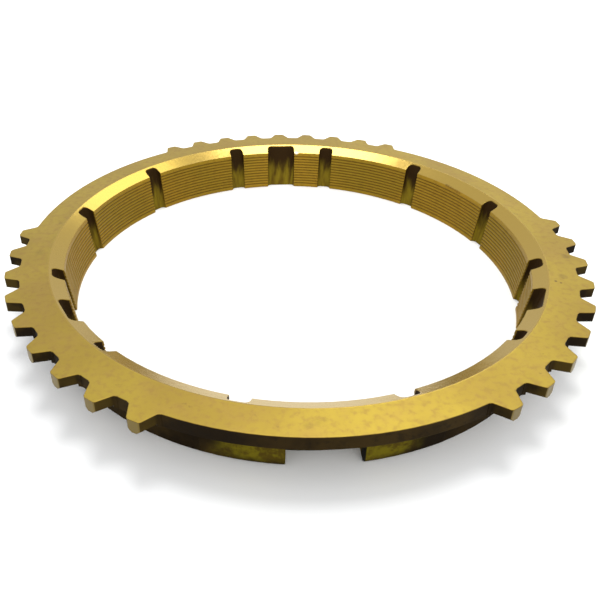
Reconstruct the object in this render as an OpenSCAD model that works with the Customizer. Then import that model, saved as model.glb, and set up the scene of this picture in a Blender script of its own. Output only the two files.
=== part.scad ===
// Synchronizer blocker ring, forged and turned from one piece of brass.
// Millimetres, +Z up. The origin is the middle of the hub side face, which the ring lies on;
// the toothed gear side face is at the top. The middle tooth group stands at +Y.

/* [Ring] */
// diameter of the flange rim between the teeth
rim_d = 110; // [80:1:140]
// height from the hub side face to the gear side face
height = 11.1; // [8:0.1:16]
// thickness of the toothed flange
flange_t = 2.4; // [1.5:0.1:4]
// step from the flange rim in to the forged hub wall
hub_step = 3.9; // [2:0.1:5]
// how far the turned pads stand proud of the forged hub wall
pad_rise = 0.5; // [0.2:0.1:1]
// half the angle each pair of pads covers round its key slot
pad_half_angle = 21; // [16:1:24]
// bevel on the lower outer edge of the hub
hub_bevel = 1.0; // [0.4:0.1:1.6]

/* [Friction cone] */
// diameter of the cone where the lead-in chamfer ends
cone_d = 94.3; // [70:0.1:120]
// half-angle of the friction cone
cone_half_angle = 6.5; // [5:0.1:8]
// height of the lead-in chamfer on the gear side
chamfer_h = 1.45; // [0.8:0.05:2.5]
// radial width of the lead-in chamfer
chamfer_w = 2.6; // [1:0.1:4]
// pitch of the oil-scraping thread cut in the cone
thread_pitch = 0.76; // [0.6:0.01:1.2]
// depth of the thread grooves
thread_depth = 0.24; // [0.1:0.01:0.3]

/* [Oil grooves] */
// width of the narrow oil grooves
groove_w = 3.5; // [2:0.1:5]
// width of the one wide oil groove at each tooth group
wide_groove_w = 7.3; // [5:0.1:10]
// depth of the oil grooves at the hub side end
groove_depth = 0.95; // [0.5:0.05:1.6]
// angle the groove floors lean away from the axis
groove_lean = 12; // [9:0.5:14]
// corner radius along the groove floors
groove_round = 0.9; // [0.3:0.1:1.5]

/* [Blocker teeth] */
// places for teeth round the whole ring
tooth_places = 45; // [36:3:60]
// teeth left standing in each of the three groups
teeth_in_group = 9; // [5:2:11]
// height of the teeth above the rim
tooth_h = 2.65; // [1.5:0.05:4]
// width of a tooth at its root
tooth_root_w = 5.0; // [3:0.1:6]
// lean of the tooth flanks from the tooth's own middle line
flank_angle = 28; // [20:1:32]
// radius of the tip corners and the root corners
tooth_round = 0.6; // [0.2:0.05:0.8]
// size of the blocking chamfers on the hub side of the teeth
tooth_chamfer = 0.6; // [0.3:0.05:1]

/* [Key slots] */
// width of the three key slots
slot_w = 11.8; // [8:0.1:16]
// hub wall left between the top of a key slot and the flange
slot_roof = 1.1; // [0.5:0.1:2.5]
// cone wall left behind the floor of a key slot
slot_wall = 1.5; // [1:0.1:2.5]

/* [Hidden] */
rim_r = rim_d / 2;
hub_r = rim_r - hub_step;
pad_r = hub_r + pad_rise;
pad_z = hub_bevel + 0.2;
flange_z = height - flange_t;
cone_top_z = height - chamfer_h;
cone_top_r = cone_d / 2;
chamfer_r = cone_top_r + chamfer_w;
cone_bottom_r = cone_top_r - cone_top_z * tan(cone_half_angle);
tip_r = rim_r + tooth_h;
tooth_pitch = 360 / tooth_places;
// angle of a group's first tooth from the group's middle
first_tooth = -(teeth_in_group - 1) / 2 * tooth_pitch;
tip_w = tooth_root_w - 2 * tooth_h * tan(flank_angle);
// run of a rounded corner along each of its two sides
corner_run = tooth_round * tan(45 - flank_angle / 2);
slot_half_angle = asin(slot_w / 2 / pad_r);
slot_top_z = flange_z - slot_roof;
thread_turns = floor((cone_top_z - thread_pitch) / thread_pitch);
thread_start = (cone_top_z - thread_turns * thread_pitch) / 2;
// part of a pitch that each side of a thread groove takes
thread_flank = 0.38;
groove_floor_r = cone_bottom_r + groove_depth;
// flats that stand for a small rounded corner
round_steps = 4;
groups = [90, 210, 330];
slots = [30, 150, 270];
$fn = 96;

// radius of the friction cone at a height
function cone_r(z) = cone_bottom_r + z * tan(cone_half_angle);

// half section of the ring: hub, flange, lead-in chamfer and friction cone with its thread
module ring_section() {
  polygon(concat(
    [[cone_bottom_r, 0], [hub_r - hub_bevel, 0], [hub_r, hub_bevel]],
    [[hub_r, flange_z], [tip_r, flange_z], [tip_r, height]],
    [[chamfer_r, height], [cone_top_r, cone_top_z]],
    [for (i = [thread_turns - 1 : -1 : 0]) for (k = [2 : -1 : 0])
      let (z = thread_start + (i + k * thread_flank) * thread_pitch)
      [cone_r(z) + (k == 1 ? thread_depth : 0), z]]
  ));
}

// turned pads on the hub wall, one each side of every key slot
module pads() {
  pad_start = slot_half_angle - 1;
  pad_angle = pad_half_angle - pad_start;
  for (a = slots)
    for (start = [pad_start, -pad_half_angle])
      rotate([0, 0, a + start])
        rotate_extrude(angle = pad_angle)
          polygon([
            [hub_r - 1, pad_z], [hub_r, pad_z], [pad_r, pad_z + pad_rise],
            [pad_r, flange_z + 0.3], [hub_r - 1, flange_z + 0.3]]);
}

// points of a rounded corner about a centre, from one angle to another
function arc(c, r, a0, a1) =
  [for (k = [0 : round_steps]) let (a = a0 + (a1 - a0) * k / round_steps)
    [c[0] + r * cos(a), c[1] + r * sin(a)]];

// one side of a tooth from root to tip: the root corner, then the tip corner
function tooth_side() = concat(
  arc([rim_r + tooth_round, tooth_root_w / 2 + corner_run], tooth_round, 180, 270 - flank_angle),
  arc([tip_r - tooth_round, tip_w / 2 - corner_run], tooth_round, 90 - flank_angle, 0));

// a point turned round the axis
function turned(p, a) = [p[0] * cos(a) - p[1] * sin(a), p[0] * sin(a) + p[1] * cos(a)];

// outline of the gap between two teeth standing at two angles, down to inside the rim
function gap_outline(a0, a1) =
  let (side = tooth_side(), last = len(side) - 1, out = tip_r + 4, deep = rim_r - 2)
  concat(
    [turned([deep, side[0][1]], a0)],
    [for (p = side) turned(p, a0)],
    [turned([out, side[last][1]], a0)],
    [for (k = [1 : 5]) turned([out, 0], a0 + (a1 - a0) * k / 6)],
    [turned([out, -side[last][1]], a1)],
    [for (i = [last : -1 : 0]) turned([side[i][0], -side[i][1]], a1)],
    [turned([deep, -side[0][1]], a1)],
    [for (k = [5 : -1 : 1]) turned([deep, 0], a0 + (a1 - a0) * k / 6)]);

// what is taken out between two teeth, down to the round rim
module tooth_gap(a0, a1) {
  translate([0, 0, flange_z - 1])
    linear_extrude(height = flange_t + 2)
      difference() {
        polygon(gap_outline(a0, a1));
        circle(r = rim_r, $fn = 180);
      }
}

// the two blocking chamfers cut on the hub side of a tooth pointing along +X
module blocking_chamfers() {
  for (s = [-1, 1])
    translate([rim_r, s * tooth_root_w / 2, flange_z])
      rotate([0, 0, -s * flank_angle])
        rotate([s * 45, 0, 0])
          translate([0.3, -3, -2 + tooth_chamfer * sin(45)]) cube([tooth_h * 2, 6, 2]);
}

// one oil groove open towards the axis, its floor leaning out to the gear side
module oil_groove(w) {
  translate([groove_floor_r, 0, 0])
    rotate([0, groove_lean, 0])
      translate([0, 0, -2])
        linear_extrude(height = height + 6)
          polygon(concat(
            [[-8, w / 2]],
            arc([-groove_round, w / 2 - groove_round], groove_round, 90, 0),
            arc([-groove_round, groove_round - w / 2], groove_round, 0, -90),
            [[-8, -w / 2]]));
}

// one key slot in the hub wall along +X, blind against the friction cone's wall
module key_slot() {
  difference() {
    translate([cone_bottom_r, -slot_w / 2, -1])
      cube([pad_r - cone_bottom_r + 5, slot_w, slot_top_z + 1]);
    translate([0, 0, -2])
      cylinder(h = height + 2, r1 = cone_r(-2) + slot_wall, r2 = cone_r(height) + slot_wall, $fn = 180);
  }
}

// the whole ring: flange, hub, teeth, friction cone, oil grooves and key slots
module synchronizer_ring() {
  color([0.74, 0.6, 0.27])
    difference() {
      union() {
        rotate_extrude($fn = 180) ring_section();
        pads();
      }
      for (g = groups) {
        for (i = [0 : teeth_in_group - 2])
          tooth_gap(g + first_tooth + i * tooth_pitch, g + first_tooth + (i + 1) * tooth_pitch);
        tooth_gap(g - first_tooth, g + 120 + first_tooth);
        for (i = [0 : teeth_in_group - 1])
          rotate([0, 0, g + first_tooth + i * tooth_pitch]) blocking_chamfers();
        rotate([0, 0, g]) oil_groove(wide_groove_w);
        for (a = [-45, -15, 15, 45])
          rotate([0, 0, g + a]) oil_groove(groove_w);
      }
      for (a = slots)
        rotate([0, 0, a]) key_slot();
    }
}

synchronizer_ring();
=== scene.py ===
import math
import bpy
import bmesh
from mathutils import Matrix, Vector

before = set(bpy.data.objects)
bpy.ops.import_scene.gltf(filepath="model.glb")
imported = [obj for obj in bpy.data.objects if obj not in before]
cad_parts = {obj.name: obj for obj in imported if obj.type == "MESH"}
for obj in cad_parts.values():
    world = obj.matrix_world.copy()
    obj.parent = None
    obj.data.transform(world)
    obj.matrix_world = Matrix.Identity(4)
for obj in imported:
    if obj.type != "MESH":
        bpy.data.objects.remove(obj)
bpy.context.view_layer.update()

# The ring itself: one forged and turned piece of brass. The flat gear side face, the chamfer,
# the threaded cone and the tooth tips are turned bright; flanks, slots and groove floors keep the dark
# forged skin, with painted shade on the rim side, hub wall and key slots, and an olive painted reflection
# of the table on the hub wall beside the key slots.
RIM_R, TIP_R, HUB_R = 55.0, 57.65, 51.1
INNER_R, PAD_EDGE = 50.2, (HUB_R + 0.3, HUB_R + 0.42)
HEIGHT, FLANGE_Z, CONE_TOP_Z = 11.1, 8.7, 9.65
CONE_TOP_R, CHAMFER_W, CHAMFER_H = 47.15, 2.6, 1.45
CONE_TAN = math.tan(math.radians(6.5))
CONE_BOTTOM_R = CONE_TOP_R - CONE_TOP_Z * CONE_TAN


class Shade:
    """Short names for building one node material."""

    def __init__(self, name):
        self.mat = bpy.data.materials.new(name)
        self.mat.use_nodes = True
        self.tree = self.mat.node_tree
        self.tree.nodes.clear()

    def node(self, kind, **props):
        n = self.tree.nodes.new(kind)
        for k, v in props.items():
            setattr(n, k, v)
        return n

    def put(self, socket, value):
        if isinstance(value, bpy.types.NodeSocket):
            self.tree.links.new(value, socket)
        else:
            socket.default_value = value

    def math(self, op, a, b=0.0, clamp=False):
        n = self.node("ShaderNodeMath", operation=op, use_clamp=clamp)
        self.put(n.inputs[0], a)
        self.put(n.inputs[1], b)
        return n.outputs[0]

    def all(self, *masks):
        """Product of masks: 1 only where every one of them is 1."""
        product = masks[0]
        for mask in masks[1:]:
            product = self.math("MULTIPLY", product, mask)
        return product

    def step(self, value, low, high):
        """0 below low, 1 above high, smooth between; low may be the larger."""
        n = self.node("ShaderNodeMapRange", interpolation_type="SMOOTHSTEP")
        flip = low > high
        for key, v in (("Value", value), ("From Min", min(low, high)), ("From Max", max(low, high))):
            self.put(n.inputs[key], v)
        n.inputs["To Min"].default_value = 1.0 if flip else 0.0
        n.inputs["To Max"].default_value = 0.0 if flip else 1.0
        return n.outputs[0]

    def noise(self, vector, scale, detail=4.0, rough=0.55):
        n = self.node("ShaderNodeTexNoise")
        self.put(n.inputs["Vector"], vector)
        n.inputs["Scale"].default_value = scale
        n.inputs["Detail"].default_value = detail
        n.inputs["Roughness"].default_value = rough
        return n.outputs["Fac"]

    def mix(self, fac, a, b):
        n = self.node("ShaderNodeMix", data_type="RGBA")
        self.put(n.inputs[0], fac)
        self.put(n.inputs[6], a)
        self.put(n.inputs[7], b)
        return n.outputs[2]

    def blend(self, fac, a, b):
        n = self.node("ShaderNodeMix", data_type="FLOAT")
        self.put(n.inputs[0], fac)
        self.put(n.inputs[2], a)
        self.put(n.inputs[3], b)
        return n.outputs[0]


def rgb(r, g, b):
    """Linear colour from 0 to 255 screen values."""
    lin = [((c / 255 + 0.055) / 1.055) ** 2.4 if c > 10 else c / 255 / 12.92 for c in (r, g, b)]
    return (*lin, 1.0)


s = Shade("brass")
coord = s.node("ShaderNodeTexCoord").outputs["Object"]
split = s.node("ShaderNodeSeparateXYZ")
s.put(split.inputs[0], coord)
x, y, z = (s.math("MULTIPLY", split.outputs[i], 1000.0) for i in range(3))
r = s.math("SQRT", s.math("ADD", s.math("MULTIPLY", x, x), s.math("MULTIPLY", y, y)))
geometry = s.node("ShaderNodeNewGeometry")
normal = s.node("ShaderNodeSeparateXYZ")
s.put(normal.inputs[0], geometry.outputs["Normal"])
up = normal.outputs[2]
fine = s.noise(coord, 900.0, 5.0)
broad = s.noise(coord, 70.0, 4.0)
specks = s.noise(coord, 420.0, 3.0, 0.7)

# how far a point lies behind the cone or the chamfer: groove floors and walls are well behind
cone = s.math("ADD", CONE_BOTTOM_R, s.math("MULTIPLY", z, CONE_TAN))
above_cone = s.math("SUBTRACT", z, CONE_TOP_Z)
chamfer = s.math("ADD", CONE_TOP_R, s.math("MULTIPLY", above_cone, CHAMFER_W / CHAMFER_H))
behind = s.math("SUBTRACT", r, s.math("MAXIMUM", cone, chamfer))
inside = s.step(r, INNER_R + 0.2, INNER_R)
groove = s.all(s.step(behind, 0.26, 0.36), inside, s.step(s.math("ABSOLUTE", up), 0.75, 0.6))
top_face = s.all(s.step(z, HEIGHT - 0.05, HEIGHT - 0.02), s.step(up, 0.8, 0.95))
on_chamfer = s.all(s.step(z, CONE_TOP_Z - 0.02, CONE_TOP_Z + 0.02), inside, s.step(behind, 0.12, 0.06))
tip = s.step(r, TIP_R - 0.1, TIP_R - 0.04)
rim_side = s.all(s.step(r, RIM_R - 0.4, RIM_R - 0.2), s.step(z, HEIGHT - 0.03, HEIGHT - 0.12))
hub_wall = s.all(s.step(r, HUB_R - 1.1, HUB_R - 0.9), s.step(z, FLANGE_Z + 0.05, FLANGE_Z - 0.05))
pad = s.all(hub_wall, s.step(r, *PAD_EDGE))
# the three key slots lie where the sine of three times the angle is near one
by_slot = s.math("SINE", s.math("MULTIPLY", s.math("ARCTAN2", y, x), 3.0))
in_slot = s.all(
    s.step(by_slot, 0.932, 0.936), s.step(behind, 1.3, 1.4), s.step(z, FLANGE_Z - 0.8, FLANGE_Z - 1.0))
slot_wall = s.all(in_slot, s.math("SUBTRACT", 1.0, s.step(r, *PAD_EDGE)))

# colours of the turned faces, mottled a little
face = s.mix(s.step(broad, 0.35, 0.65), rgb(150, 125, 48), rgb(160, 136, 50))
patches = s.noise(coord, 240.0, 5.0, 0.65)
face = s.mix(s.all(s.step(patches, 0.42, 0.7), 0.3), face, rgb(150, 118, 64))
face = s.mix(s.all(s.step(fine, 0.45, 0.7), 0.5), face, rgb(138, 108, 54))
face = s.mix(s.all(s.step(specks, 0.66, 0.75), 0.4), face, rgb(104, 78, 46))
wall = s.mix(s.step(broad, 0.35, 0.65), rgb(150, 116, 22), rgb(140, 112, 20))
wall = s.mix(s.all(s.step(fine, 0.45, 0.75), 0.4), wall, rgb(124, 90, 18))
# painted shade: the roots of the thread are painted darker
wall = s.mix(s.all(s.step(behind, 0.05, 0.2), 0.6), wall, rgb(82, 58, 14))
pale = rgb(168, 140, 66)
# dark forged skin, painted darker still as painted shade for the rim side and the hub wall
skin_and_shade = s.mix(s.step(broad, 0.4, 0.62), rgb(24, 16, 5), rgb(46, 34, 11))
skin_and_shade = s.mix(s.all(s.step(fine, 0.5, 0.7), 0.5), skin_and_shade, rgb(18, 13, 6))
# olive: the painted reflection of the white table on the hub wall beside the key slots
olive = s.mix(s.step(specks, 0.4, 0.62), rgb(100, 90, 14), rgb(72, 58, 11))
# groove floors: black-brown above, running down in drips to olive brass
drip_map = s.node("ShaderNodeMapping")
s.put(drip_map.inputs[0], coord)
drip_map.inputs["Scale"].default_value = (1.0, 1.0, 0.08)
drips = s.noise(drip_map.outputs[0], 900.0, 2.0)
drip_line = s.math("ADD", z, s.math("MULTIPLY", s.math("SUBTRACT", drips, 0.5), 7.0))
streaks = s.mix(s.step(drips, 0.3, 0.75), rgb(122, 104, 25), rgb(88, 68, 17))
floor_colour = s.mix(s.step(drip_line, 1.8, 7.6), streaks, rgb(46, 31, 12))


def spot(place, size):
    """1 at a place on the ring, fading to 0 at a distance, all in mm."""
    away = s.node("ShaderNodeVectorMath", operation="DISTANCE")
    s.put(away.inputs[0], coord)
    away.inputs[1].default_value = [v / 1000.0 for v in place]
    far = s.math("MULTIPLY", away.outputs["Value"], 1000.0)
    ragged = s.math("ADD", far, s.math("MULTIPLY", specks, 1.3 * size))
    return s.step(ragged, 1.6 * size, 0.8 * size)


# a smear at the front, pits at the right and a few freckles of oil, as the photo shows them
for spot_x, spot_y, size, strength in (
        (-3.0, -52.8, 1.2, 0.22), (-1.6, -52.3, 1.2, 0.22), (-0.6, -51.9, 0.9, 0.22),
        (46.9, -20.0, 0.45, 0.8), (47.6, -20.6, 0.4, 0.8), (47.1, -16.2, 0.6, 0.6), (48.9, -18.6, 1.3, 0.3),
        (52.9, -11.5, 1.5, 0.35), (-51.5, -6.0, 1.6, 0.25), (-50.5, 6.0, 0.7, 0.4)):
    stain = spot((spot_x, spot_y, HEIGHT), size)
    face = s.mix(s.all(stain, strength), face, rgb(84, 60, 40))
colour = s.mix(top_face, wall, face)
colour = s.mix(on_chamfer, colour, pale)
# a nick beside the far wide groove, painted near-white as a painted highlight, and a bruise along the
# cone's upper edge
colour = s.mix(spot((4.2, 46.8, 9.75), 0.8), colour, rgb(250, 244, 214))
for along in range(7):
    turn = math.radians(32.0 - 0.9 * along)
    edge_r = CONE_TOP_R + 0.05
    bruise = spot((edge_r * math.cos(turn), edge_r * math.sin(turn), 9.6 - 0.05 * along), 0.55)
    colour = s.mix(s.all(bruise, 0.6), colour, rgb(88, 58, 14))
# the rim side and tooth flanks: dark forged skin with painted shade, lighter in patches on the teeth
lighter_teeth = s.all(s.step(r, RIM_R + 0.2, RIM_R + 0.8), s.step(broad, 0.4, 0.6))
flank = s.mix(lighter_teeth, skin_and_shade, rgb(60, 47, 14))
colour = s.mix(rim_side, colour, flank)
colour = s.mix(s.all(tip, rim_side), colour, rgb(104, 87, 34))
# the hub wall under the flange: dark forged skin with painted shade
colour = s.mix(hub_wall, colour, skin_and_shade)
# painted reflection: the olive painted reflection of the table on the pads fades into the forged skin at
# its far ends and lower edges
reflection_edge_noise = s.math("MULTIPLY", s.math("SUBTRACT", broad, 0.5), 0.8)
far_end = s.step(s.math("ADD", by_slot, reflection_edge_noise), 0.5, 0.78)
lower_edge = s.step(s.math("ADD", z, s.math("MULTIPLY", reflection_edge_noise, 4.0)), 1.2, 3.0)
pad = s.all(pad, far_end, lower_edge)
colour = s.mix(s.all(pad, 0.92), colour, olive)
colour = s.mix(groove, colour, floor_colour)
# painted shade: the key slots are painted near-black for the shade inside them
colour = s.mix(slot_wall, colour, rgb(20, 15, 6))
# the forged skin is dull; everything else is bare metal
dark = s.all(rim_side, s.math("SUBTRACT", 1.0, tip))
for mask in (hub_wall, groove, slot_wall):
    dark = s.math("MAXIMUM", dark, mask)

shader = s.node("ShaderNodeBsdfPrincipled")
s.put(shader.inputs["Base Color"], colour)
s.put(shader.inputs["Metallic"], s.blend(dark, 0.7, 0.0))
turned = s.blend(on_chamfer, s.blend(fine, 0.36, 0.5), 0.17)
s.put(shader.inputs["Roughness"], s.blend(dark, turned, 0.6))
s.put(shader.inputs["Specular IOR Level"], s.blend(dark, 0.4, 0.03))
bevel = s.node("ShaderNodeBevel", samples=6)
bevel.inputs["Radius"].default_value = 0.00018
bump = s.node("ShaderNodeBump")
bump.inputs["Strength"].default_value = 0.2
bump.inputs["Distance"].default_value = 0.00006
s.put(bump.inputs["Height"], fine)
s.put(bump.inputs["Normal"], bevel.outputs[0])
s.put(shader.inputs["Normal"], bump.outputs[0])
out = s.node("ShaderNodeOutputMaterial")
s.put(out.inputs[0], shader.outputs[0])

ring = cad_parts["synchronizer_ring"]
ring.data.materials.clear()
ring.data.materials.append(s.mat)

# Where the ring lies: a plain white table under soft studio light, with the camera of the photo.
# The table keeps the ring's faint shadow, and the far background is the same white.
w = Shade("table")
paper = w.node("ShaderNodeBsdfDiffuse")
paper.inputs["Color"].default_value = (0.97, 0.97, 0.97, 1.0)
done = w.node("ShaderNodeOutputMaterial")
w.put(done.inputs[0], paper.outputs[0])
bm = bmesh.new()
bmesh.ops.create_grid(bm, x_segments=1, y_segments=1, size=3.0)
mesh = bpy.data.meshes.new("table")
bm.to_mesh(mesh)
bm.free()
table = bpy.data.objects.new("table", mesh)
table.location = (0.0, 0.0, -0.00002)
mesh.materials.append(w.mat)
bpy.context.collection.objects.link(table)

world = bpy.data.worlds.new("studio")
bpy.context.scene.world = world
world.use_nodes = True
nodes, links = world.node_tree.nodes, world.node_tree.links
nodes.clear()
seen = nodes.new("ShaderNodeLightPath")
white = nodes.new("ShaderNodeBackground")
white.inputs["Color"].default_value = (1.0, 1.0, 1.0, 1.0)
white.inputs["Strength"].default_value = 1.0
soft = nodes.new("ShaderNodeBackground")
soft.inputs["Color"].default_value = (0.95, 0.97, 1.0, 1.0)
soft.inputs["Strength"].default_value = 1.0
both = nodes.new("ShaderNodeMixShader")
end = nodes.new("ShaderNodeOutputWorld")
links.new(seen.outputs["Is Camera Ray"], both.inputs[0])
links.new(soft.outputs[0], both.inputs[1])
links.new(white.outputs[0], both.inputs[2])
links.new(both.outputs[0], end.inputs[0])


def lamp(name, place, aim, size, power, tint=(1.0, 1.0, 1.0)):
    """A square soft light at a place, facing a point."""
    data = bpy.data.lights.new(name, "AREA")
    data.shape = "SQUARE"
    data.size = size
    data.energy = power
    data.color = tint
    o = bpy.data.objects.new(name, data)
    o.location = place
    o.rotation_mode = "QUATERNION"
    o.rotation_quaternion = (Vector(aim) - Vector(place)).to_track_quat("-Z", "Y")
    bpy.context.collection.objects.link(o)


CENTRE = (0.0, 0.0, 0.0)
lamp("overhead", (0.005, 0.12, 0.60), CENTRE, 0.22, 1.5)
lamp("back", (0.20, 0.43, 0.58), CENTRE, 0.3, 1.0, (0.97, 1.0, 0.72))
lamp("front", (0.05, -0.50, 0.40), CENTRE, 0.35, 1.0, (1.0, 0.97, 0.88))

# The camera: its place, turn and lens were fitted to the circles and teeth that the photo shows.
# It stands close to the ring and a little to the left, so the front teeth look large.
TURN, PITCH, ROLL = math.radians(3.33), 0.50801, 0.01035
ahead = Vector((math.cos(PITCH) * math.sin(TURN), math.cos(PITCH) * math.cos(TURN), -math.sin(PITCH)))
right = Vector((math.cos(TURN), -math.sin(TURN), 0.0))
above = right.cross(ahead)
level, upright = right, above
right = math.cos(ROLL) * level + math.sin(ROLL) * upright
above = math.cos(ROLL) * upright - math.sin(ROLL) * level
lens = bpy.data.cameras.new("camera")
lens.sensor_width = 36.0
lens.lens = 37.071
lens.shift_x = 0.04781
lens.shift_y = -0.125
lens.clip_start, lens.clip_end = 0.005, 10.0
camera = bpy.data.objects.new("camera", lens)
camera.matrix_world = Matrix((
    (right.x, above.x, -ahead.x, -0.011852),
    (right.y, above.y, -ahead.y, -0.112721),
    (right.z, above.z, -ahead.z, 0.075900),
    (0.0, 0.0, 0.0, 1.0)))
bpy.context.collection.objects.link(camera)
bpy.context.scene.camera = camera
bpy.context.scene.view_settings.view_transform = "Standard"
